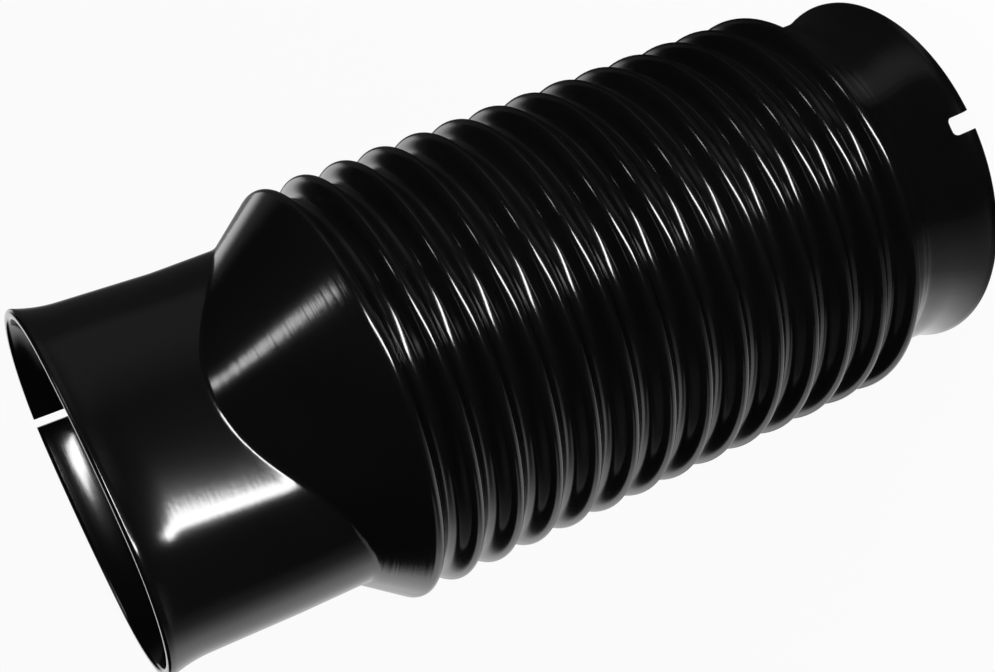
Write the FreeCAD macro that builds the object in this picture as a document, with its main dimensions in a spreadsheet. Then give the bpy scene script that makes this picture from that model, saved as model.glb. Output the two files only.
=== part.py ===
import FreeCAD, Part
import math
import os
import Sketcher
from FreeCAD import Placement, Rotation, Vector

# Carburettor intake boot, moulded in one piece of rubber.
# It stands on its round, flared end: the rim lies on Z = 0 and the oval mouth is on top.
# The long way of the oval runs along X, the short way along Y. All sizes are in millimetres.

doc = FreeCAD.newDocument("carburettor_intake_boot")
sheet = doc.addObject("Spreadsheet::Sheet", "sizes")

SIZES = [
    # the bellows
    ("crest_radius", "37.0"),
    ("crest_pitch", "7.39"),
    ("crest_count", "14"),
    ("first_crest_height", "21.5"),
    ("convolution_depth", "3.4"),
    ("crest_flat", "2.0"),
    ("valley_flat", "2.1"),
    ("bellows_wall", "1.2"),
    # the round cuff at the foot
    ("cuff_wall", "1.8"),
    ("round_cuff_radius", "32.2"),
    ("round_lip_flare", "1.8"),
    ("round_lip_length", "8.0"),
    ("cuff_blend_length", "3.0"),
    # the cone above the bellows
    ("cone_angle", "37.1"),
    # the oval cuff on top
    ("oval_half_length", "31.4"),
    ("oval_half_width", "19.7"),
    ("oval_side_swell", "1.2"),
    ("oval_cuff_straight", "12.7"),
    ("oval_lip_flare", "1.4"),
    ("oval_lip_length", "8.0"),
    ("junction_round", "2.0"),
    # the broken edges of both rims
    ("rim_chamfer", "0.5"),
    # the locating notch in the round rim
    ("notch_width", "3.5"),
    ("notch_depth", "4.2"),
    ("notch_corner", "1.0"),
    ("notch_bearing", "344.6"),
    # the slot in the oval rim
    ("slot_width", "1.5"),
    ("slot_depth", "9.0"),
    ("slot_corner", "0.6"),
    ("slot_bearing", "154.7"),
    # how far a cutter runs past the wall
    ("cutter_overrun", "3.0"),
    # bellows: what follows from the sizes above
    ("valley_radius", "=crest_radius - convolution_depth"),
    ("flank_run", "=(crest_pitch - crest_flat - valley_flat) / 2"),
    ("foot_of_bellows", "=first_crest_height - crest_pitch / 2"),
    ("head_of_convolution", "=first_crest_height + crest_pitch / 2"),
    ("pattern_length", "=(crest_count - 1) * crest_pitch"),
    ("top_crest_height", "=first_crest_height + pattern_length"),
    # round cuff: what follows
    ("round_bore_radius", "=round_cuff_radius - cuff_wall"),
    ("round_lip_radius", "=round_cuff_radius + round_lip_flare"),
    ("round_lip_sweep", "=(round_lip_flare ^ 2 + round_lip_length ^ 2) / (2 * round_lip_flare)"),
    ("round_lip_bore", "=round_cuff_radius + round_lip_sweep"
                       " - sqrt((round_lip_sweep + cuff_wall) ^ 2 - round_lip_length ^ 2)"),
    ("blend_start_height", "=foot_of_bellows - cuff_blend_length"),
    # cone: what follows
    ("cone_rise", "=tan(cone_angle * 1 deg)"),
    ("cone_start_height", "=top_crest_height + crest_flat / 2"),
    ("cone_end_radius", "=oval_half_width / 2"),
    ("cone_end_height", "=cone_start_height + (crest_radius - cone_end_radius) / cone_rise"),
    ("cone_void_radius", "=crest_radius - cuff_wall / cos(cone_angle * 1 deg)"),
    ("cone_void_height", "=cone_start_height + (cone_void_radius - cone_end_radius) / cone_rise"),
    # oval: what follows
    ("oval_end_round", "=oval_half_width - oval_side_swell"),
    ("oval_centre", "=oval_half_length - oval_end_round"),
    ("oval_side_centre", "=(oval_centre ^ 2 - oval_side_swell ^ 2) / (2 * oval_side_swell)"),
    ("oval_centre_gap", "=sqrt(oval_centre ^ 2 + oval_side_centre ^ 2)"),
    ("oval_side_round", "=oval_half_width + oval_side_centre"),
    ("side_meet_height", "=cone_start_height + (crest_radius - oval_half_width) / cone_rise"),
    ("lip_start_height", "=side_meet_height + oval_cuff_straight"),
    ("lip_middle_height", "=lip_start_height + oval_lip_length / 2"),
    ("overall_length", "=lip_start_height + oval_lip_length"),
    ("oval_lip_sweep", "=(oval_lip_flare ^ 2 + oval_lip_length ^ 2) / (2 * oval_lip_flare)"),
    ("oval_middle_flare", "=oval_lip_sweep - sqrt(oval_lip_sweep ^ 2 - (oval_lip_length / 2) ^ 2)"),
]
for row, (name, text) in enumerate(SIZES, 1):
    sheet.set("A%d" % row, name)
    sheet.set("B%d" % row, text)
    sheet.setAlias("B%d" % row, name)
doc.recompute()

body = doc.addObject("PartDesign::Body", "intake_boot")
body.Label = "intake_boot"

ORIGIN = -1
ACROSS = -1
UPRIGHT = -2
START, END = 1, 2
CLOSE = 0.002


def measure(formula):
    """The value of a formula in the sheet's names."""
    number = body.evalExpression(formula)
    return float(getattr(number, "Value", number))


def datum(role):
    return next(item for item in body.Origin.OriginFeatures if item.Role == role)


def new_sketch(name, role):
    sketch = body.newObject("Sketcher::SketchObject", name)
    sketch.AttachmentSupport = [(datum(role), "")]
    sketch.MapMode = "FlatFace"
    return sketch


def line(sketch, start, end):
    return sketch.addGeometry(Part.LineSegment(Vector(*start, 0), Vector(*end, 0)), False)


def arc(sketch, centre, radius, first, last):
    circle = Part.Circle(Vector(*centre, 0), Vector(0, 0, 1), radius)
    return sketch.addGeometry(Part.ArcOfCircle(circle, math.radians(first), math.radians(last)), False)


def rule(sketch, *terms):
    sketch.addConstraint(Sketcher.Constraint(*terms))


def size(sketch, label, formula, *terms):
    index = sketch.addConstraint(Sketcher.Constraint(*terms, measure(formula)))
    sketch.renameConstraint(index, label)
    sketch.setExpression("Constraints." + label, formula)


def place(sketch, label, element, end, across, upright):
    """Ties a point of the sketch to the axes; None puts it on the axis itself."""
    if across is None:
        rule(sketch, "PointOnObject", element, end, UPRIGHT)
    else:
        size(sketch, label + "_across", across, "DistanceX", ORIGIN, 1, element, end)
    if upright is None:
        rule(sketch, "PointOnObject", element, end, ACROSS)
    else:
        size(sketch, label + "_up", upright, "DistanceY", ORIGIN, 1, element, end)


def half_section(name, corners):
    """A closed half section of straight lines, each corner as (label, radius, height)."""
    sketch = new_sketch(name, "XZ_Plane")
    points = [(measure(radius or "0"), measure(height or "0")) for _, radius, height in corners]
    sides = [line(sketch, point, points[(number + 1) % len(points)]) for number, point in enumerate(points)]
    for number, side in enumerate(sides):
        rule(sketch, "Coincident", side, END, sides[(number + 1) % len(sides)], START)
    for side, (label, radius, height) in zip(sides, corners):
        place(sketch, label, side, START, radius, height)
    return sketch


def convolution(name, wall, crest_half):
    """One convolution from valley to valley; wall and crest_half are formulas."""
    valley = "sizes.valley_radius - " + wall
    crest = "sizes.crest_radius - " + wall
    middle = "sizes.first_crest_height"
    run = " (" + crest_half + " + sizes.flank_run)"
    corners = [
        ("foot_axis", None, "sizes.foot_of_bellows"),
        ("foot", valley, "sizes.foot_of_bellows"),
        ("low_valley", valley, middle + " -" + run),
        ("low_crest", crest, middle + " - " + crest_half),
        ("high_crest", crest, middle + " + " + crest_half),
        ("high_valley", valley, middle + " +" + run),
        ("head", valley, "sizes.head_of_convolution"),
        ("head_axis", None, "sizes.head_of_convolution"),
    ]
    if measure(crest_half) == 0.0:
        corners.pop(4)
    return half_section(name, corners)


def round_cuff(name, cuff, lip, top):
    """The round cuff: a lip that flares in an arc, a straight wall and the slope up to the first valley."""
    length = measure("sizes.round_lip_length")
    start = measure("sizes.blend_start_height")
    foot = measure("sizes.foot_of_bellows")
    flare = measure(lip) - measure(cuff)
    sweep = (flare ** 2 + length ** 2) / (2 * flare)
    turn = math.degrees(math.asin(length / sweep))
    sketch = new_sketch(name, "XZ_Plane")
    floor = line(sketch, (0, 0), (measure(lip), 0))
    lip_arc = arc(sketch, (measure(cuff) + sweep, length), sweep, 180, 180 + turn)
    wall = line(sketch, (measure(cuff), length), (measure(cuff), start))
    blend = line(sketch, (measure(cuff), start), (measure(top), foot))
    roof = line(sketch, (measure(top), foot), (0, foot))
    spine = line(sketch, (0, foot), (0, 0))
    rule(sketch, "Coincident", floor, END, lip_arc, END)
    rule(sketch, "Tangent", lip_arc, START, wall, START)
    rule(sketch, "Coincident", wall, END, blend, START)
    rule(sketch, "Coincident", blend, END, roof, START)
    rule(sketch, "Coincident", roof, END, spine, START)
    rule(sketch, "Coincident", spine, END, floor, START)
    rule(sketch, "Coincident", floor, START, ORIGIN, 1)
    rule(sketch, "Vertical", wall)
    place(sketch, "lip", floor, END, lip, None)
    place(sketch, "wall_foot", wall, START, cuff, "sizes.round_lip_length")
    size(sketch, "wall_head", "sizes.blend_start_height", "DistanceY", ORIGIN, 1, wall, END)
    place(sketch, "top", roof, START, top, "sizes.foot_of_bellows")
    place(sketch, "top_axis", roof, END, None, "sizes.foot_of_bellows")
    return sketch


def oval(name, height, offset):
    """The oval, grown by offset: two end arcs and two flatter side arcs that meet tangent to each other."""
    end_round = "sizes.oval_end_round + " + offset
    side_round = "sizes.oval_side_round + " + offset
    joint_along = "sizes.oval_centre * (1 + (" + end_round + ") / sizes.oval_centre_gap)"
    joint_across = "(" + end_round + ") * sizes.oval_side_centre / sizes.oval_centre_gap"
    centre, side = measure("sizes.oval_centre"), measure("sizes.oval_side_centre")
    spread = math.degrees(math.atan2(side, centre))
    sketch = new_sketch(name, "XY_Plane")
    sketch.setExpression("AttachmentOffset.Base.z", height)
    right = arc(sketch, (centre, 0), measure(end_round), -spread, spread)
    back = arc(sketch, (0, -side), measure(side_round), spread, 180 - spread)
    left = arc(sketch, (-centre, 0), measure(end_round), 180 - spread, 180 + spread)
    front = arc(sketch, (0, side), measure(side_round), 180 + spread, 360 - spread)
    for first, second in ((right, back), (back, left), (left, front), (front, right)):
        rule(sketch, "Coincident", first, END, second, START)
    rule(sketch, "Symmetric", right, END, right, START, ACROSS)
    rule(sketch, "Symmetric", right, END, left, START, UPRIGHT)
    rule(sketch, "Symmetric", left, START, left, END, ACROSS)
    rule(sketch, "Equal", right, left)
    rule(sketch, "Equal", back, front)
    size(sketch, "end_round", end_round, "Radius", right)
    size(sketch, "side_round", side_round, "Radius", back)
    place(sketch, "joint", right, END, joint_along, joint_across)
    return sketch


def finished(feature):
    body.Tip = feature
    doc.recompute()
    return feature


def turned(kind, name, sketch):
    feature = body.newObject(kind, name)
    feature.Profile = (sketch, [""])
    feature.ReferenceAxis = (sketch, ["V_Axis"])
    feature.Angle = 360.0
    return finished(feature)


def repeated(name, feature):
    pattern = body.newObject("PartDesign::LinearPattern", name)
    pattern.Originals = [feature]
    pattern.Direction = (datum("Z_Axis"), [""])
    pattern.setExpression("Length", "sizes.pattern_length")
    pattern.setExpression("Occurrences", "sizes.crest_count")
    return finished(pattern)


def extruded(kind, name, sketch, length, backward):
    feature = body.newObject(kind, name)
    feature.Profile = (sketch, [""])
    feature.Reversed = backward
    feature.setExpression("Length", length)
    return finished(feature)


def lofted(kind, name, sections):
    feature = body.newObject(kind, name)
    feature.Profile = (sections[0], [""])
    feature.Sections = [(section, [""]) for section in sections[1:]]
    feature.Ruled = False
    feature.Closed = False
    return finished(feature)


def dressed(kind, name, base, wanted, amount, formula):
    """Rounds or breaks the edges of base whose points all pass the test wanted."""
    names = []
    for number, edge in enumerate(base.Shape.Edges, 1):
        if all(wanted(point) for point in edge.discretize(Number=7)):
            names.append("Edge%d" % number)
    feature = body.newObject(kind, name)
    feature.Base = (base, names)
    feature.setExpression(amount, formula)
    return finished(feature)


# The outside: bellows, round cuff, cone, oval cuff and its lip.
disc = turned("PartDesign::Revolution", "convolution",
              convolution("convolution_line", "0", "sizes.crest_flat / 2"))
bellows = repeated("bellows", disc)
foot = turned("PartDesign::Revolution", "round_cuff", round_cuff(
    "round_cuff_line", "sizes.round_cuff_radius", "sizes.round_lip_radius", "sizes.valley_radius"))
shoulder = turned("PartDesign::Revolution", "shoulder", half_section("shoulder_line", [
    ("base_axis", None, "sizes.top_crest_height"),
    ("base", "sizes.crest_radius", "sizes.top_crest_height"),
    ("start", "sizes.crest_radius", "sizes.cone_start_height"),
    ("end", "sizes.cone_end_radius", "sizes.cone_end_height"),
    ("end_axis", None, "sizes.cone_end_height")]))
oval_cuff = extruded("PartDesign::Pad", "oval_cuff", oval("oval_section", "sizes.top_crest_height", "0"),
                     "sizes.lip_start_height - sizes.top_crest_height", False)
oval_lip = lofted("PartDesign::AdditiveLoft", "oval_lip", [
    oval("lip_start", "sizes.lip_start_height", "0"),
    oval("lip_middle", "sizes.lip_middle_height", "sizes.oval_middle_flare"),
    oval("lip_end", "sizes.overall_length", "sizes.oval_lip_flare")])


def on_junction(point):
    """On the curve where the oval cuff leaves the cone."""
    above = point.z - measure("sizes.cone_start_height")
    reach = measure("sizes.crest_radius") - above * measure("sizes.cone_rise")
    below_end = point.z < measure("sizes.cone_end_height") - measure("sizes.junction_round")
    return above > CLOSE and below_end and abs(math.hypot(point.x, point.y) - reach) < CLOSE


junction = dressed("PartDesign::Fillet", "junction", oval_lip, on_junction, "Radius", "sizes.junction_round")

# The passage through the boot, one wall inside the outside.
groove = turned("PartDesign::Groove", "convolution_void",
                convolution("convolution_void_line", "sizes.bellows_wall", "0"))
grooves = repeated("bellows_void", groove)
round_bore = turned("PartDesign::Groove", "round_bore", round_cuff(
    "round_bore_line", "sizes.round_bore_radius", "sizes.round_lip_bore",
    "sizes.valley_radius - sizes.bellows_wall"))
shoulder_void = turned("PartDesign::Groove", "shoulder_void", half_section("shoulder_void_line", [
    ("start_axis", None, "sizes.cone_start_height"),
    ("start", "sizes.cone_void_radius", "sizes.cone_start_height"),
    ("end", "sizes.cone_end_radius", "sizes.cone_void_height"),
    ("end_axis", None, "sizes.cone_void_height")]))
oval_bore = extruded("PartDesign::Pocket", "oval_bore",
                     oval("oval_bore_section", "sizes.top_crest_height", "-sizes.cuff_wall"),
                     "sizes.lip_start_height - sizes.top_crest_height", True)
lip_void = lofted("PartDesign::SubtractiveLoft", "oval_lip_void", [
    oval("lip_void_start", "sizes.lip_start_height", "-sizes.cuff_wall"),
    oval("lip_void_middle", "sizes.lip_middle_height", "sizes.oval_middle_flare - sizes.cuff_wall"),
    oval("lip_void_end", "sizes.overall_length", "sizes.oval_lip_flare - sizes.cuff_wall")])


def on_rim(point):
    return min(abs(point.z), abs(point.z - measure("sizes.overall_length"))) < CLOSE


rims = dressed("PartDesign::Chamfer", "rims", lip_void, on_rim, "Size", "sizes.rim_chamfer")


def rim_cut(name, bearing, centre, width, corner, mouth, inner):
    """A cut through one wall with rounded inner corners, made outward from centre on the X axis.

    bearing turns it about the upright axis from the front, mouth is the height where it starts
    past the rim and inner the height where it ends."""
    sketch = new_sketch(name + "_line", "XZ_Plane")
    sketch.AttachmentOffset = Placement(Vector(0, 0, 0), Rotation(Vector(0, 1, 0), measure(bearing)))
    sketch.setExpression("AttachmentOffset.Base.x", centre)
    sketch.setExpression("AttachmentOffset.Rotation.Angle", bearing + " * 1 deg")
    half, radius = measure(width) / 2, measure(corner)
    low, high = measure(mouth), measure(inner)
    upward = high > low
    shoulder = high - radius if upward else high + radius
    base = line(sketch, (-half, low), (half, low))
    right = line(sketch, (half, low), (half, shoulder))
    end = line(sketch, (half - radius, high), (radius - half, high))
    left = line(sketch, (-half, shoulder), (-half, low))
    turns = (0, 90) if upward else (270, 360)
    right_arc = arc(sketch, (half - radius, shoulder), radius, *turns)
    turns = (90, 180) if upward else (180, 270)
    left_arc = arc(sketch, (radius - half, shoulder), radius, *turns)
    enter, leave = (START, END) if upward else (END, START)
    rule(sketch, "Coincident", base, END, right, START)
    rule(sketch, "Tangent", right, END, right_arc, enter)
    rule(sketch, "Tangent", right_arc, leave, end, START)
    rule(sketch, "Tangent", end, END, left_arc, enter)
    rule(sketch, "Tangent", left_arc, leave, left, START)
    rule(sketch, "Coincident", left, END, base, START)
    rule(sketch, "Horizontal", end)
    rule(sketch, "Vertical", right)
    rule(sketch, "Vertical", left)
    rule(sketch, "Symmetric", base, START, base, END, UPRIGHT)
    rule(sketch, "Equal", right_arc, left_arc)
    size(sketch, "corner", corner, "Radius", right_arc)
    size(sketch, "width", width, "DistanceX", base, START, base, END)
    size(sketch, "mouth", mouth, "DistanceY", ORIGIN, 1, base, START)
    size(sketch, "inner", inner, "DistanceY", ORIGIN, 1, end, START)
    return extruded("PartDesign::Pocket", name, sketch, "sizes.crest_radius + sizes.cutter_overrun", True)


rim_notch = rim_cut("rim_notch", "sizes.notch_bearing", "0", "sizes.notch_width", "sizes.notch_corner",
                    "-sizes.cutter_overrun", "sizes.notch_depth")
lip_slot = rim_cut("lip_slot", "sizes.slot_bearing", "sizes.oval_centre", "sizes.slot_width", "sizes.slot_corner",
                   "sizes.overall_length + sizes.cutter_overrun", "sizes.overall_length - sizes.slot_depth")

body.Placement = Placement(Vector(0, 0, 0), Rotation())
doc.recompute()

# Every feature is sound before the part is written.
for item in doc.Objects:
    if "Invalid" in item.State or "Error" in item.State:
        raise RuntimeError("%s did not build" % item.Name)
for item in body.Group:
    if item.Shape.isNull() or not item.Shape.isValid():
        raise RuntimeError("%s has no sound shape" % item.Name)
if len(body.Shape.Solids) != 1:
    raise RuntimeError("the boot is not one solid")

os.makedirs("parts", exist_ok=True)
body.Shape.exportStep("parts/intake_boot.step")
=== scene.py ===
"""Studio picture of a carburettor intake boot: one moulded piece of black rubber on its round end."""
import math

import bmesh
import bpy
from mathutils import Matrix, Vector


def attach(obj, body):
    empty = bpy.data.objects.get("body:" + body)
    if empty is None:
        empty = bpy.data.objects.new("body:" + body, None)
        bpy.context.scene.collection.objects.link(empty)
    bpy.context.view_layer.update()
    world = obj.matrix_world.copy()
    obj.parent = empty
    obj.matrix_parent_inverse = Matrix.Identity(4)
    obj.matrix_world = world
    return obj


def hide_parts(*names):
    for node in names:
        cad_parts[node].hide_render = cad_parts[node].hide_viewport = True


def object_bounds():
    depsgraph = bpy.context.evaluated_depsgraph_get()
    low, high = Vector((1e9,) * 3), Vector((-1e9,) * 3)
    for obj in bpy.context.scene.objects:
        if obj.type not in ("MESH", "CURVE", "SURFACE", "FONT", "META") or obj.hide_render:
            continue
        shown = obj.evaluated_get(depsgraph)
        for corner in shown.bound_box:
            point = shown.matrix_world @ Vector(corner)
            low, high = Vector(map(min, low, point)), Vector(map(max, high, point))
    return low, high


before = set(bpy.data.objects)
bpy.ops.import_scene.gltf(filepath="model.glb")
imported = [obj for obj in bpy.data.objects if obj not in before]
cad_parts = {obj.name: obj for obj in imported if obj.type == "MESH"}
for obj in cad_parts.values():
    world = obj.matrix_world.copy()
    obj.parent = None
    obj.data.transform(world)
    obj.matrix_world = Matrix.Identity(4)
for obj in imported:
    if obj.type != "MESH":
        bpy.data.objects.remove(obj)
cad_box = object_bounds()

MM = 0.001

# How finely the skin is divided, round the axis and along its half section.
COLUMNS = 128
OUTER_ROWS, INNER_ROWS = 32, 8
BLEND_STEPS = 6
LIP_STEPS = 8
RIM_STEPS = 4
WALL_STEPS = 12
WELD_REACH = 0.002
SHARP_EDGE = math.radians(38)

# Sizes in millimetres; heights are measured from the round rim.
CREST_RADIUS = 37.0
CREST_PITCH = 7.39
CREST_COUNT = 14
FIRST_CREST = 21.5
CONVOLUTION_DEPTH = 3.4
CREST_FULLNESS = 1.2
VALLEY_SHARE = 0.2
BELLOWS_WALL = 1.2
CUFF_WALL = 1.8
ROUND_CUFF_RADIUS = 32.2
ROUND_LIP_FLARE = 1.8
ROUND_LIP_LENGTH = 8.0
CUFF_BLEND = 4.0
CONE_ANGLE = math.radians(37.1)
CREST_ROUND = 1.6
OVERALL_LENGTH = cad_box[1][2] / MM
OVAL_HALF_LENGTH = 31.4
OVAL_HALF_WIDTH = 19.7
OVAL_SWELL = 1.2
OVAL_LIP_FLARE = 1.4
OVAL_LIP_LENGTH = 8.0
JUNCTION_ROUND = 2.0
RIM_ROUND = 0.55
INNER_CONE_SHORT = 2.0
NOTCH_WIDTH, NOTCH_DEPTH, NOTCH_CORNER = 3.5, 4.2, 1.0
NOTCH_BEARING = math.radians(-15.4)
SLOT_WIDTH, SLOT_DEPTH, SLOT_CORNER = 1.5, 9.0, 0.6
SLOT_BEARING = math.radians(154.7)
CUT_START, CUT_END, CUT_OVERSHOOT = 5.0, 45.0, 3.0

# The set that the soft oval cuff has taken: its mouth leans and is spread a little the long way.
SET_FOOT = 138.0
MOUTH_LEAN = 1.0
MOUTH_SPREAD = 0.5

VALLEY_RADIUS = CREST_RADIUS - CONVOLUTION_DEPTH
BELLOWS_FOOT = FIRST_CREST - CREST_PITCH / 2
TOP_CREST = FIRST_CREST + (CREST_COUNT - 1) * CREST_PITCH
CONE_LEVEL = (CREST_ROUND + (CREST_RADIUS - CREST_ROUND) * math.cos(CONE_ANGLE)
              + TOP_CREST * math.sin(CONE_ANGLE))
OVAL_END_ROUND = OVAL_HALF_WIDTH - OVAL_SWELL
OVAL_CENTRE = OVAL_HALF_LENGTH - OVAL_END_ROUND
OVAL_SIDE_CENTRE = (OVAL_CENTRE ** 2 - OVAL_SWELL ** 2) / (2 * OVAL_SWELL)
OVAL_SIDE_ROUND = OVAL_HALF_WIDTH + OVAL_SIDE_CENTRE
OVAL_CORNER = math.atan2(OVAL_SIDE_CENTRE, OVAL_CENTRE)

# The camera of the photograph, in millimetres and unit vectors of the boot's frame.
CAMERA_PLACE = Vector((-95.048, -278.417, 201.559))
CAMERA_RIGHT = Vector((-0.47222, -0.19783, -0.85899))
CAMERA_UP = Vector((0.83006, -0.42777, -0.35780))
CAMERA_BACK = Vector((-0.29667, -0.88197, 0.36621))
LENS_MM = 64.85
SENSOR_MM = 36.0

# The rubber's finish: bloom and grain as noise cells a metre, depths of its marks in millimetres.
RUBBER_IOR = 1.6
RUBBER_DARK, RUBBER_PALE = (0.0015, 0.0015, 0.0017, 1), (0.004, 0.004, 0.0043, 1)
RUBBER_GLOSS, RUBBER_HAZE = 0.09, 0.18
BLOOM_CELLS = 38.0
TURNED_CELLS, TURNED_DEPTH = 1500.0, 0.022
TURNED_OFF_CONE = 0.2
CONE_NEAR, CONE_FAR = 0.15, 0.5
GRAIN_CELLS, GRAIN_DEPTH, GRAIN_STRENGTH = 900.0, 0.05, 0.08

# The studio: the floor's half side is in metres, and the rows of the tent of painted reflections give reach
# and height in millimetres.
FLOOR_HALF_SIDE = 12.0
FLOOR_GREY = (0.86, 0.86, 0.86, 1)
FLOOR_WHITENESS = 0.94
WORLD_STRENGTH = 0.3
WHITE = (1, 1, 1, 1)
TENT_COLUMNS = 120

# Greys of the tent round the boot by bearing in degrees, painted reflections of its surroundings that only
# its gloss shows: black before it as painted shade, white behind it and to its left as a painted reflection
# of a lit floor.
TENT_NEAR = ((0, 0.01), (60, 0.02), (110, 0.4), (140, 0.9), (168, 1.0), (180, 0.8), (195, 0.28),
             (220, 0.01), (277, 0.01), (283, 0.17), (289, 0.17), (298, 0.02), (360, 0.01))
TENT_FLOOR = ((0, 0.04), (40, 0.06), (80, 0.7), (100, 0.95), (140, 0.95), (152, 0.55), (165, 0.17),
              (182, 0.02), (295, 0.01), (308, 0.14), (327, 0.14), (340, 0.05), (360, 0.04))
TENT_WALL = ((0, 0.01), (34, 0.1), (40, 1.3), (140, 1.0), (152, 0.6), (178, 0.35), (186, 0.01), (360, 0.01))
TENT_ROOF = ((0, 0.006), (360, 0.006))
TENT_ROWS = ((0, 0.3, TENT_NEAR), (210, 0.3, TENT_NEAR), (300, 0.3, TENT_FLOOR), (2500, 0.3, TENT_FLOOR),
             (2500, 20, TENT_WALL), (2500, 600, TENT_WALL), (2500, 900, TENT_ROOF), (0, 2600, TENT_ROOF))


# Node helpers
def add(tree, kind, **settings):
    node = tree.nodes.new(kind)
    for name, value in settings.items():
        setattr(node, name, value)
    return node


def join(tree, source, target):
    tree.links.new(source, target)


def math_node(tree, operation, first, second=None):
    node = add(tree, "ShaderNodeMath", operation=operation)
    for socket, value in zip(node.inputs, (first, second)):
        if value is None:
            continue
        if isinstance(value, (int, float)):
            socket.default_value = value
        else:
            join(tree, value, socket)
    return node.outputs[0]


# The bellows, one convolution repeated along the axis
def bellows_tree():
    tree = bpy.data.node_groups.new("bellows", "GeometryNodeTree")
    sockets = {}
    for name, kind in (("Crest Radius", "NodeSocketFloat"), ("Depth", "NodeSocketFloat"),
                       ("Pitch", "NodeSocketFloat"), ("Count", "NodeSocketInt"),
                       ("First Crest", "NodeSocketFloat"), ("Fullness", "NodeSocketFloat"),
                       ("Valley Share", "NodeSocketFloat"),
                       ("Columns", "NodeSocketInt"), ("Rows", "NodeSocketInt"),
                       ("Inside", "NodeSocketBool"), ("Rubber", "NodeSocketMaterial")):
        sockets[name] = tree.interface.new_socket(name, in_out="INPUT", socket_type=kind).identifier
    tree.interface.new_socket("Bellows", in_out="OUTPUT", socket_type="NodeSocketGeometry")
    given = add(tree, "NodeGroupInput").outputs
    grid = add(tree, "GeometryNodeMeshGrid")
    grid.inputs["Size X"].default_value = 1.0
    grid.inputs["Size Y"].default_value = 1.0
    join(tree, math_node(tree, "ADD", given["Columns"], 1), grid.inputs["Vertices X"])
    join(tree, math_node(tree, "ADD", given["Rows"], 1), grid.inputs["Vertices Y"])
    place = add(tree, "ShaderNodeSeparateXYZ")
    join(tree, add(tree, "GeometryNodeInputPosition").outputs[0], place.inputs[0])
    turn = math_node(tree, "MULTIPLY", place.outputs["X"], math.tau)
    # the wave runs from valley to valley, steeper than a cosine and broader in the valley
    swing = math_node(tree, "COSINE", math_node(tree, "MULTIPLY", place.outputs["Y"], math.tau))

    def full(level):
        below = math_node(tree, "SUBTRACT", level, given["Valley Share"])
        return math_node(tree, "TANH", math_node(tree, "MULTIPLY", below, given["Fullness"]))

    top, bottom = full(1.0), full(-1.0)
    middle_wave = math_node(tree, "MULTIPLY", math_node(tree, "ADD", top, bottom), 0.5)
    half_wave = math_node(tree, "MULTIPLY", math_node(tree, "SUBTRACT", top, bottom), 0.5)
    wave = math_node(tree, "DIVIDE", math_node(tree, "SUBTRACT", full(swing), middle_wave), half_wave)
    half_depth = math_node(tree, "MULTIPLY", given["Depth"], 0.5)
    middle = math_node(tree, "SUBTRACT", given["Crest Radius"], half_depth)
    radius = math_node(tree, "ADD", middle, math_node(tree, "MULTIPLY", half_depth, wave))
    spot = add(tree, "ShaderNodeCombineXYZ")
    join(tree, math_node(tree, "MULTIPLY", radius, math_node(tree, "COSINE", turn)), spot.inputs["X"])
    join(tree, math_node(tree, "MULTIPLY", radius, math_node(tree, "SINE", turn)), spot.inputs["Y"])
    join(tree, math_node(tree, "MULTIPLY", place.outputs["Y"], given["Pitch"]), spot.inputs["Z"])
    wrap = add(tree, "GeometryNodeSetPosition")
    join(tree, grid.outputs["Mesh"], wrap.inputs["Geometry"])
    join(tree, spot.outputs[0], wrap.inputs["Position"])
    flip = add(tree, "GeometryNodeFlipFaces")
    join(tree, wrap.outputs[0], flip.inputs["Mesh"])
    join(tree, given["Inside"], flip.inputs["Selection"])
    start = add(tree, "ShaderNodeCombineXYZ")
    join(tree, given["First Crest"], start.inputs["Z"])
    step = add(tree, "ShaderNodeCombineXYZ")
    join(tree, given["Pitch"], step.inputs["Z"])
    crests = add(tree, "GeometryNodeMeshLine", mode="OFFSET")
    join(tree, given["Count"], crests.inputs["Count"])
    join(tree, start.outputs[0], crests.inputs["Start Location"])
    join(tree, step.outputs[0], crests.inputs["Offset"])
    repeat = add(tree, "GeometryNodeInstanceOnPoints")
    join(tree, crests.outputs[0], repeat.inputs["Points"])
    join(tree, flip.outputs[0], repeat.inputs["Instance"])
    real = add(tree, "GeometryNodeRealizeInstances")
    join(tree, repeat.outputs[0], real.inputs[0])
    coat = add(tree, "GeometryNodeSetMaterial")
    join(tree, real.outputs[0], coat.inputs["Geometry"])
    join(tree, given["Rubber"], coat.inputs["Material"])
    join(tree, coat.outputs[0], add(tree, "NodeGroupOutput").inputs[0])
    return tree, sockets


def bellows_mesh(tree, sockets, rubber, inside, rows):
    holder = bpy.data.objects.new("bellows", bpy.data.meshes.new("bellows"))
    bpy.context.collection.objects.link(holder)
    modifier = holder.modifiers.new("bellows", "NODES")
    modifier.node_group = tree
    sizes = {
        "Crest Radius": (CREST_RADIUS - (BELLOWS_WALL if inside else 0.0)) * MM,
        "Depth": CONVOLUTION_DEPTH * MM, "Pitch": CREST_PITCH * MM, "Count": CREST_COUNT,
        "First Crest": FIRST_CREST * MM, "Fullness": CREST_FULLNESS, "Valley Share": VALLEY_SHARE,
        "Columns": COLUMNS, "Rows": rows, "Inside": inside, "Rubber": rubber,
    }
    for name, value in sizes.items():
        modifier[sockets[name]] = value
    graph = bpy.context.evaluated_depsgraph_get()
    mesh = bpy.data.meshes.new_from_object(holder.evaluated_get(graph))
    bpy.data.objects.remove(holder)
    return mesh


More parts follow.
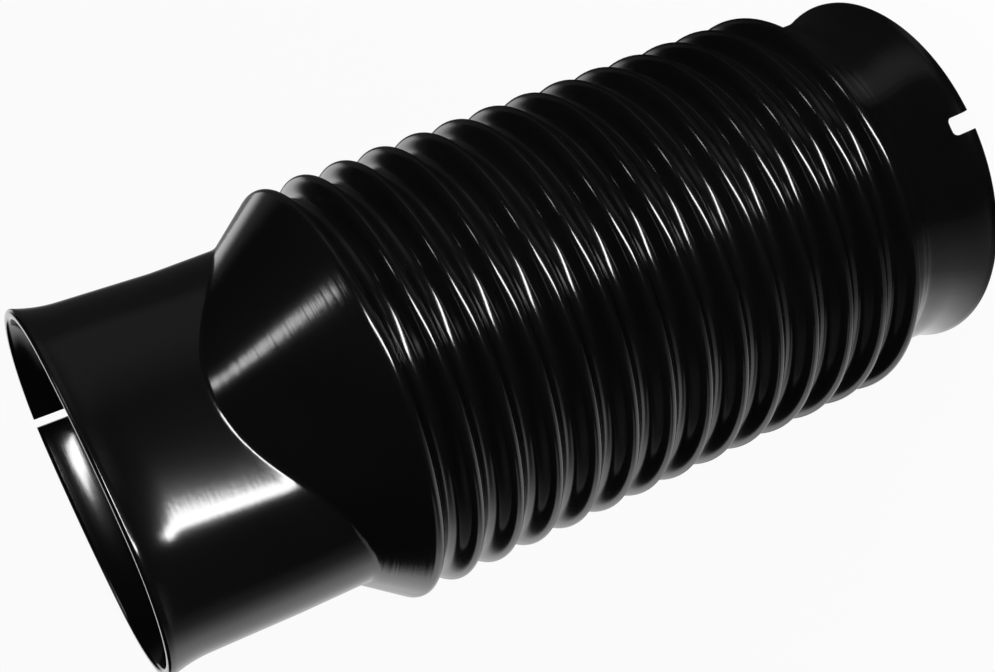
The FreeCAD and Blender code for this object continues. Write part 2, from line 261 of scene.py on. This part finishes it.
# The cuffs and the shoulder, as half sections of (radius, height) at a bearing
def oval_reach(bearing, offset):
    """The oval's distance from the axis at a bearing, grown by offset."""
    along, across = abs(math.cos(bearing)), abs(math.sin(bearing))
    end, side = OVAL_END_ROUND + offset, OVAL_SIDE_ROUND + offset
    centre_end = OVAL_CENTRE + end * math.cos(OVAL_CORNER)
    if math.atan2(across, along) < math.atan2(end * math.sin(OVAL_CORNER), centre_end):
        return OVAL_CENTRE * along + math.sqrt(end ** 2 - (OVAL_CENTRE * across) ** 2)
    return -OVAL_SIDE_CENTRE * across + math.sqrt(side ** 2 - (OVAL_SIDE_CENTRE * along) ** 2)


def steps(first, last, count):
    return [first + (last - first) * number / count for number in range(count + 1)]


def between(first, last, part):
    """The point that lies a part of the way from first to last."""
    return tuple(low + (high - low) * part for low, high in zip(first, last))


def eased(part):
    return part * part * (3 - 2 * part)


def bow(centre, radius, first, last, count):
    return [(centre[0] + radius * math.cos(angle), centre[1] + radius * math.sin(angle))
            for angle in steps(first, last, count)]


def flare(below, length, amount):
    """How far a lip stands out at a distance below its rim."""
    sweep = (amount ** 2 + length ** 2) / (2 * amount)
    rise = max(length - below, 0.0)
    return sweep - math.sqrt(sweep ** 2 - rise ** 2)


def oval_lip(bearing, height, offset):
    """The oval's distance from the axis at a height in its flared lip, grown by offset."""
    return oval_reach(bearing, offset + flare(OVERALL_LENGTH - height, OVAL_LIP_LENGTH, OVAL_LIP_FLARE))


def foot_section(_):
    """From the first valley down the outside, round the rim and up the bore, alike at every bearing."""
    outside = []
    for part in steps(0.0, 1.0, BLEND_STEPS):
        outside.append((VALLEY_RADIUS + (ROUND_CUFF_RADIUS - VALLEY_RADIUS) * eased(part),
                        BELLOWS_FOOT - CUFF_BLEND * part))
    for height in steps(BELLOWS_FOOT - CUFF_BLEND, ROUND_LIP_LENGTH, 3)[1:]:
        outside.append((ROUND_CUFF_RADIUS, height))
    for height in steps(ROUND_LIP_LENGTH, RIM_ROUND, LIP_STEPS)[1:]:
        outside.append((ROUND_CUFF_RADIUS + flare(height, ROUND_LIP_LENGTH, ROUND_LIP_FLARE), height))
    edge = outside[-1][0]
    outer = bow((edge - RIM_ROUND, RIM_ROUND), RIM_ROUND, 0, -math.pi / 2, RIM_STEPS)[1:]
    inner = bow((edge - CUFF_WALL + RIM_ROUND, RIM_ROUND), RIM_ROUND, -math.pi / 2, -math.pi, RIM_STEPS)
    below_blend = outside[BLEND_STEPS + 1:-1]
    inside = [(radius - CUFF_WALL, height) for radius, height in reversed(below_blend)]
    bore = ROUND_CUFF_RADIUS - CUFF_WALL
    for part in steps(0.0, 1.0, BLEND_STEPS):
        inside.append((bore + (VALLEY_RADIUS - BELLOWS_WALL - bore) * eased(part),
                       BELLOWS_FOOT - CUFF_BLEND * (1 - part)))
    return outside + outer + inner + inside


def head_section(bearing):
    """From the top crest up the cone and the oval cuff, round the lip and down inside."""
    sine, cosine = math.sin(CONE_ANGLE), math.cos(CONE_ANGLE)
    crest = (CREST_RADIUS - CREST_ROUND, TOP_CREST)
    wall = oval_reach(bearing, 0.0)
    start = (crest[0] + CREST_ROUND * cosine, crest[1] + CREST_ROUND * sine)
    bend = wall + JUNCTION_ROUND
    bend_height = start[1] + (JUNCTION_ROUND - (bend - start[0]) * cosine) / sine
    lip_start = OVERALL_LENGTH - OVAL_LIP_LENGTH
    outside = bow(crest, CREST_ROUND, 0, CONE_ANGLE, 5)
    fillet = bow((bend, bend_height), JUNCTION_ROUND, math.pi + CONE_ANGLE, math.pi, 8)
    for part in steps(0.0, 1.0, WALL_STEPS)[1:-1]:
        outside.append(between(start, fillet[0], part))
    outside += fillet
    for height in steps(bend_height, lip_start, WALL_STEPS)[1:]:
        outside.append((wall, height))
    top = OVERALL_LENGTH - RIM_ROUND
    for height in steps(lip_start, top, LIP_STEPS)[1:]:
        outside.append((oval_lip(bearing, height, 0.0), height))
    edge, inner_edge = oval_lip(bearing, top, 0.0), oval_lip(bearing, top, -CUFF_WALL)
    outer = bow((edge - RIM_ROUND, top), RIM_ROUND, 0, math.pi / 2, RIM_STEPS)[1:]
    inner = bow((inner_edge + RIM_ROUND, top), RIM_ROUND, math.pi / 2, math.pi, RIM_STEPS)
    inside = []
    for height in steps(top, lip_start, LIP_STEPS)[1:]:
        inside.append((oval_lip(bearing, height, -CUFF_WALL), height))
    inner_wall = oval_reach(bearing, -CUFF_WALL)
    for height in steps(lip_start, bend_height, WALL_STEPS // 2)[1:-1]:
        inside.append((inner_wall, height))
    inner_bend = bow((inner_wall + JUNCTION_ROUND + CUFF_WALL, bend_height), JUNCTION_ROUND + CUFF_WALL,
                     math.pi, math.pi + CONE_ANGLE, 6)
    inside += inner_bend
    low = (start[0] - CUFF_WALL * cosine - INNER_CONE_SHORT * sine,
           start[1] - CUFF_WALL * sine + INNER_CONE_SHORT * cosine)
    for part in steps(0.0, 1.0, WALL_STEPS // 2)[1:]:
        inside.append(between(inner_bend[-1], low, part))
    inside.append((CREST_RADIUS - BELLOWS_WALL, TOP_CREST))
    return outside + outer + inner + inside


def settled(spot):
    """Where a point of the oval cuff lies once the mouth has taken its set."""
    share = max(spot.z - SET_FOOT, 0.0) / (OVERALL_LENGTH - SET_FOOT)
    spread = 1 + share * MOUTH_SPREAD / OVAL_HALF_LENGTH
    return Vector((spot.x * spread + share * MOUTH_LEAN, spot.y, spot.z))


def wrapped(shape, section):
    """Adds a skin to shape whose half section is worked out at every bearing round the axis."""
    columns = []
    for number in range(COLUMNS):
        bearing = math.tau * number / COLUMNS - math.pi
        turn = Vector((math.cos(bearing), math.sin(bearing), 0))
        columns.append([shape.verts.new(settled(turn * radius + Vector((0, 0, height))) * MM)
                        for radius, height in section(bearing)])
    for number, column in enumerate(columns):
        after = columns[(number + 1) % COLUMNS]
        for row in range(len(column) - 1):
            shape.faces.new((column[row], column[row + 1], after[row + 1], after[row]))


def cutter(name, place, bearing, width, corner, mouth, inner):
    """A tool through one wall: a plate with two rounded corners, pushed outward along its bearing."""
    half, way = width / 2, 1 if inner > mouth else -1
    rim = [(-half, mouth), (half, mouth)]
    for centre, first in ((half - corner, 0), (corner - half, math.pi / 2)):
        for angle in steps(first, first + math.pi / 2, 5):
            rim.append((centre + corner * math.cos(angle), inner + way * (corner * math.sin(angle) - corner)))
    outward = Vector((math.sin(bearing), -math.cos(bearing), 0))
    sideways = Vector((math.cos(bearing), math.sin(bearing), 0))
    shape = bmesh.new()
    near, far = [], []
    for side, height in rim:
        spot = Vector((place, 0, height)) + sideways * side
        near.append(shape.verts.new((spot + outward * CUT_START) * MM))
        far.append(shape.verts.new((spot + outward * CUT_END) * MM))
    shape.faces.new(near)
    shape.faces.new(reversed(far))
    for number in range(len(rim)):
        after = (number + 1) % len(rim)
        shape.faces.new((near[number], far[number], far[after], near[after]))
    bmesh.ops.recalc_face_normals(shape, faces=shape.faces)
    mesh = bpy.data.meshes.new(name)
    shape.to_mesh(mesh)
    shape.free()
    tool = bpy.data.objects.new(name, mesh)
    bpy.context.collection.objects.link(tool)
    return tool


def intake_boot(rubber):
    tree, sockets = bellows_tree()
    shape = bmesh.new()
    shape.from_mesh(bellows_mesh(tree, sockets, rubber, False, OUTER_ROWS))
    shape.from_mesh(bellows_mesh(tree, sockets, rubber, True, INNER_ROWS))
    half_row = CREST_PITCH / OUTER_ROWS / 2
    above = [vert for vert in shape.verts if vert.co.z > (TOP_CREST + half_row) * MM]
    bmesh.ops.delete(shape, geom=above, context="VERTS")
    wrapped(shape, foot_section)
    wrapped(shape, head_section)
    bmesh.ops.remove_doubles(shape, verts=shape.verts, dist=WELD_REACH * MM)
    bmesh.ops.recalc_face_normals(shape, faces=shape.faces)
    for face in shape.faces:
        face.smooth = True
    mesh = bpy.data.meshes.new("intake_boot_skin")
    shape.to_mesh(mesh)
    shape.free()
    mesh.materials.clear()
    mesh.materials.append(rubber)
    boot = bpy.data.objects.new("boot", mesh)
    bpy.context.collection.objects.link(boot)
    tools = [
        cutter("rim_notch", 0.0, NOTCH_BEARING, NOTCH_WIDTH, NOTCH_CORNER, -CUT_OVERSHOOT, NOTCH_DEPTH),
        cutter("lip_slot", OVAL_CENTRE + MOUTH_LEAN, SLOT_BEARING, SLOT_WIDTH, SLOT_CORNER,
               OVERALL_LENGTH + CUT_OVERSHOOT, OVERALL_LENGTH - SLOT_DEPTH),
    ]
    for tool in tools:
        cut = boot.modifiers.new(tool.name, "BOOLEAN")
        cut.operation = "DIFFERENCE"
        cut.solver = "EXACT"
        cut.object = tool
    graph = bpy.context.evaluated_depsgraph_get()
    cut_mesh = bpy.data.meshes.new_from_object(boot.evaluated_get(graph))
    boot.modifiers.clear()
    boot.data = cut_mesh
    for tool in tools:
        bpy.data.objects.remove(tool)
    shape = bmesh.new()
    shape.from_mesh(cut_mesh)
    for edge in shape.edges:
        edge.smooth = len(edge.link_faces) != 2 or edge.calc_face_angle(0.0) < SHARP_EDGE
    shape.to_mesh(cut_mesh)
    shape.free()
    return boot


# The rubber
def rubber_material():
    material = bpy.data.materials.new("glossy_black_rubber")
    material.use_nodes = True
    tree = material.node_tree
    shader = tree.nodes["Principled BSDF"]
    shader.inputs["IOR"].default_value = RUBBER_IOR
    place = add(tree, "ShaderNodeTexCoord").outputs["Object"]
    bloom = add(tree, "ShaderNodeTexNoise")
    bloom.inputs["Scale"].default_value = BLOOM_CELLS
    bloom.inputs["Detail"].default_value = 4.0
    join(tree, place, bloom.inputs["Vector"])
    tint = add(tree, "ShaderNodeValToRGB")
    tint.color_ramp.elements[0].color = RUBBER_DARK
    tint.color_ramp.elements[1].color = RUBBER_PALE
    join(tree, bloom.outputs["Fac"], tint.inputs["Fac"])
    join(tree, tint.outputs["Color"], shader.inputs["Base Color"])
    haze = add(tree, "ShaderNodeMapRange")
    haze.inputs["To Min"].default_value = RUBBER_GLOSS
    haze.inputs["To Max"].default_value = RUBBER_HAZE
    join(tree, bloom.outputs["Fac"], haze.inputs["Value"])
    join(tree, haze.outputs["Result"], shader.inputs["Roughness"])
    # fine rings left by the turned mould
    spot = add(tree, "ShaderNodeSeparateXYZ")
    join(tree, place, spot.inputs[0])
    ring = add(tree, "ShaderNodeCombineXYZ")
    join(tree, math_node(tree, "MULTIPLY", spot.outputs["Z"], TURNED_CELLS), ring.inputs["X"])
    join(tree, math_node(tree, "ARCTAN2", spot.outputs["Y"], spot.outputs["X"]), ring.inputs["Y"])
    marks = add(tree, "ShaderNodeTexNoise", noise_dimensions="2D")
    marks.inputs["Scale"].default_value = 1.0
    marks.inputs["Detail"].default_value = 2.0
    join(tree, ring.outputs[0], marks.inputs["Vector"])
    # the marks are deeper on the cone, found by its distance from the cone's face
    flat = add(tree, "ShaderNodeCombineXYZ")
    join(tree, spot.outputs["X"], flat.inputs["X"])
    join(tree, spot.outputs["Y"], flat.inputs["Y"])
    reach = add(tree, "ShaderNodeVectorMath", operation="LENGTH")
    join(tree, flat.outputs[0], reach.inputs[0])
    outward = math_node(tree, "MULTIPLY", reach.outputs["Value"], math.cos(CONE_ANGLE))
    upward = math_node(tree, "MULTIPLY", spot.outputs["Z"], math.sin(CONE_ANGLE))
    level = math_node(tree, "ADD", outward, upward)
    gap = math_node(tree, "ABSOLUTE", math_node(tree, "SUBTRACT", level, CONE_LEVEL * MM))
    depth = add(tree, "ShaderNodeMapRange")
    depth.inputs["From Min"].default_value = CONE_NEAR * MM
    depth.inputs["From Max"].default_value = CONE_FAR * MM
    depth.inputs["To Min"].default_value = 1.0
    depth.inputs["To Max"].default_value = TURNED_OFF_CONE
    join(tree, gap, depth.inputs["Value"])
    height = math_node(tree, "MULTIPLY", marks.outputs["Fac"], depth.outputs["Result"])
    turned = add(tree, "ShaderNodeBump")
    turned.inputs["Strength"].default_value = 1.0
    turned.inputs["Distance"].default_value = TURNED_DEPTH * MM
    join(tree, height, turned.inputs["Height"])
    grain = add(tree, "ShaderNodeTexNoise")
    grain.inputs["Scale"].default_value = GRAIN_CELLS
    grain.inputs["Detail"].default_value = 3.0
    join(tree, place, grain.inputs["Vector"])
    bump = add(tree, "ShaderNodeBump")
    bump.inputs["Strength"].default_value = GRAIN_STRENGTH
    bump.inputs["Distance"].default_value = GRAIN_DEPTH * MM
    join(tree, grain.outputs["Fac"], bump.inputs["Height"])
    join(tree, turned.outputs["Normal"], bump.inputs["Normal"])
    join(tree, bump.outputs["Normal"], shader.inputs["Normal"])
    return material


# The studio
def plain_material(name, build):
    material = bpy.data.materials.new(name)
    material.use_nodes = True
    tree = material.node_tree
    tree.nodes.clear()
    output = add(tree, "ShaderNodeOutputMaterial")
    join(tree, build(tree), output.inputs["Surface"])
    return material


def floor_shader(tree):
    """Pale and matt for the light, plain white where it is looked at."""
    path = add(tree, "ShaderNodeLightPath").outputs
    seen = math_node(tree, "MAXIMUM", path["Is Camera Ray"],
                     math_node(tree, "MAXIMUM", path["Is Glossy Ray"], path["Is Transmission Ray"]))
    matt = add(tree, "ShaderNodeBsdfDiffuse")
    matt.inputs["Color"].default_value = FLOOR_GREY
    white = add(tree, "ShaderNodeEmission")
    white.inputs["Color"].default_value = WHITE
    mix = add(tree, "ShaderNodeMixShader")
    join(tree, math_node(tree, "MULTIPLY", seen, FLOOR_WHITENESS), mix.inputs["Fac"])
    join(tree, matt.outputs[0], mix.inputs[1])
    join(tree, white.outputs[0], mix.inputs[2])
    return mix.outputs[0]


def floor():
    half = FLOOR_HALF_SIDE
    corners = [(-half, -half, 0), (half, -half, 0), (half, half, 0), (-half, half, 0)]
    mesh = bpy.data.meshes.new("floor")
    mesh.from_pydata(corners, [], [(0, 1, 2, 3)])
    mesh.materials.append(plain_material("pale_floor", floor_shader))
    piece = bpy.data.objects.new("floor", mesh)
    bpy.context.collection.objects.link(piece)


def only_reflected(piece):
    """For a card of painted reflection that the gloss of the boot shows, and that neither the lens nor the
    light meets.
    """
    piece.visible_camera = False
    piece.visible_diffuse = False
    piece.visible_shadow = False
    piece.visible_transmission = False
    piece.visible_volume_scatter = False


# painted reflection: the tent glows at its painted grey though it is no lamp, and only the boot's gloss sees
# it
def painted_reflection_glow(tree):
    level = add(tree, "ShaderNodeAttribute", attribute_name="level")
    glow = add(tree, "ShaderNodeEmission")
    join(tree, level.outputs["Fac"], glow.inputs["Strength"])
    return glow.outputs[0]


def level_at(table, bearing):
    """The grey of the tent at a bearing, from its (bearing, grey) pairs."""
    for (first, low), (second, high) in zip(table, table[1:]):
        if bearing <= second:
            return low + (high - low) * (bearing - first) / (second - first)
    return table[-1][1]


def painted_reflection_tent():
    """A glowing tent that is no lamp and that only the gloss of the boot shows: painted reflections and
    painted shade in its greys.
    """
    spots, levels, faces = [], [], []
    bearings = steps(0, 360, TENT_COLUMNS)
    for reach, height, table in TENT_ROWS:
        for bearing in bearings:
            angle = math.radians(bearing)
            spots.append(Vector((reach * math.cos(angle), reach * math.sin(angle), height)) * MM)
            levels.append(level_at(table, bearing))
    across = len(bearings)
    for row in range(len(TENT_ROWS) - 1):
        for number in range(across - 1):
            corner = row * across + number
            faces.append((corner, corner + 1, corner + 1 + across, corner + across))
    mesh = bpy.data.meshes.new("painted_reflection_tent")
    mesh.from_pydata(spots, [], faces)
    mesh.attributes.new("level", "FLOAT", "POINT").data.foreach_set("value", levels)
    mesh.materials.append(plain_material("painted_reflection_tent", painted_reflection_glow))
    piece = bpy.data.objects.new("painted_reflection_tent", mesh)
    bpy.context.collection.objects.link(piece)
    only_reflected(piece)


def softbox(name, place, aim, upward, width, height, radiance):
    """A soft box that faces a point of the boot, its place and sides in millimetres."""
    lamp = bpy.data.lights.new(name, "AREA")
    lamp.shape = "RECTANGLE"
    lamp.size, lamp.size_y = width * MM, height * MM
    lamp.energy = radiance * math.pi * lamp.size * lamp.size_y
    holder = bpy.data.objects.new(name, lamp)
    back = (Vector(place) - Vector(aim)).normalized()
    right = Vector(upward).cross(back).normalized()
    turn = Matrix((right, back.cross(right), back)).transposed().to_4x4()
    holder.matrix_world = Matrix.Translation(Vector(place) * MM) @ turn
    holder.visible_camera = False
    bpy.context.collection.objects.link(holder)


def studio():
    floor()
    painted_reflection_tent()
    softbox("front_softbox", place=(-13, -294, 146), aim=(-8, -30, 100), upward=(0.52, 0, 0.855),
            width=42, height=247, radiance=24.0)
    softbox("high_softbox", place=(493, -457, 891), aim=(3, -27, 131), upward=(0, 0, 1),
            width=110, height=110, radiance=9.0)
    world = bpy.data.worlds.new("studio")
    world.use_nodes = True
    background = world.node_tree.nodes["Background"]
    background.inputs["Color"].default_value = WHITE
    background.inputs["Strength"].default_value = WORLD_STRENGTH
    bpy.context.scene.world = world


def photo_camera():
    data = bpy.data.cameras.new("photo_camera")
    data.lens = LENS_MM
    data.sensor_width = SENSOR_MM
    data.sensor_fit = "HORIZONTAL"
    data.clip_start = 0.01
    data.clip_end = 100.0
    camera = bpy.data.objects.new("photo_camera", data)
    turn = Matrix((CAMERA_RIGHT, CAMERA_UP, CAMERA_BACK)).transposed().to_4x4()
    camera.matrix_world = Matrix.Translation(CAMERA_PLACE * MM) @ turn
    bpy.context.collection.objects.link(camera)
    bpy.context.scene.camera = camera


boot = intake_boot(rubber_material())
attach(boot, "root")
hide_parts("intake_boot")
studio()
photo_camera()
bpy.context.scene.view_settings.view_transform = "Standard"
